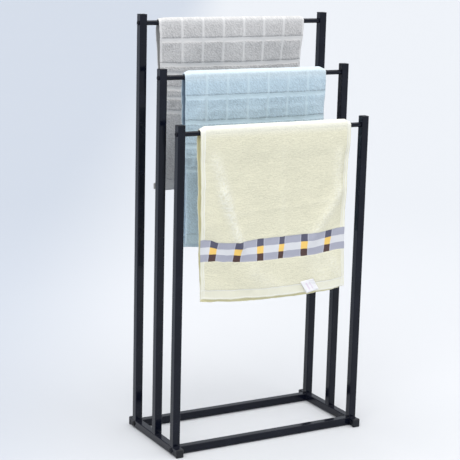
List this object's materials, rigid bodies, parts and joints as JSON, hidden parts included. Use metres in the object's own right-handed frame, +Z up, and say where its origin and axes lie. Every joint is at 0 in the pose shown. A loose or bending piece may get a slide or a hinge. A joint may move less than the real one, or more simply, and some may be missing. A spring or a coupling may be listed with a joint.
{
  "type": "towel rack",
  "caption": "Free-standing stepped towel rack of black square tube on a low rail base, with round hanging bars at rising heights and a folded towel over each bar.",
  "frame": {"origin": "on the floor, under the middle of the base", "axes": "+X to the right along the hanging bars, -Y to the front (lowest) tier, +Z up"},
  "size_m": [0.45, 0.228, 0.88],
  "materials": {
    "powder_coat": "satin",
    "black_plastic": "matte",
    "foot_plastic": "satin",
    "black_steel": "satin",
    "zinc_steel": "satin",
    "towel_yellow": "matte",
    "towel_blue": "matte",
    "towel_grey": "matte",
    "label_fabric": "satin"
  },
  "bodies": {
    "rack": {"upright_front_left": "powder_coat", "upright_front_right": "powder_coat", "upright_middle_left": "powder_coat", "upright_middle_right": "powder_coat", "upright_rear_left": "powder_coat", "upright_rear_right": "powder_coat", "side_rail_left": "powder_coat", "side_rail_right": "powder_coat", "cross_rail_front": "powder_coat", "cross_rail_rear": "powder_coat", "bar_front": "powder_coat", "bar_middle": "powder_coat", "bar_rear": "powder_coat", "weld_beads": "powder_coat", "cap_front_left": "black_plastic", "cap_front_right": "black_plastic", "cap_middle_left": "black_plastic", "cap_middle_right": "black_plastic", "cap_rear_left": "black_plastic", "cap_rear_right": "black_plastic", "foot_front_left": "foot_plastic", "foot_front_right": "foot_plastic", "foot_rear_left": "foot_plastic", "foot_rear_right": "foot_plastic", "bar_screws": "black_steel", "rail_bolts": "black_steel", "bar_end_plugs": "zinc_steel", "rail_nut_plates": "zinc_steel"},
    "towel_front": {"towel_front": "towel_yellow", "care_label": "label_fabric"},
    "towel_middle": {"towel_middle": "towel_blue"},
    "towel_rear": {"towel_rear": "towel_grey"}
  },
  "joints": [
    {"name": "towel_front_lift", "type": "slide", "parent": "rack", "child": "towel_front", "axis": [0, 0, 1], "range_m": [0, 0.38]},
    {"name": "towel_middle_lift", "type": "slide", "parent": "rack", "child": "towel_middle", "axis": [0, 0, 1], "range_m": [0, 0.37]},
    {"name": "towel_rear_lift", "type": "slide", "parent": "rack", "child": "towel_rear", "axis": [0, 0, 1], "range_m": [0, 0.36]}
  ]
}
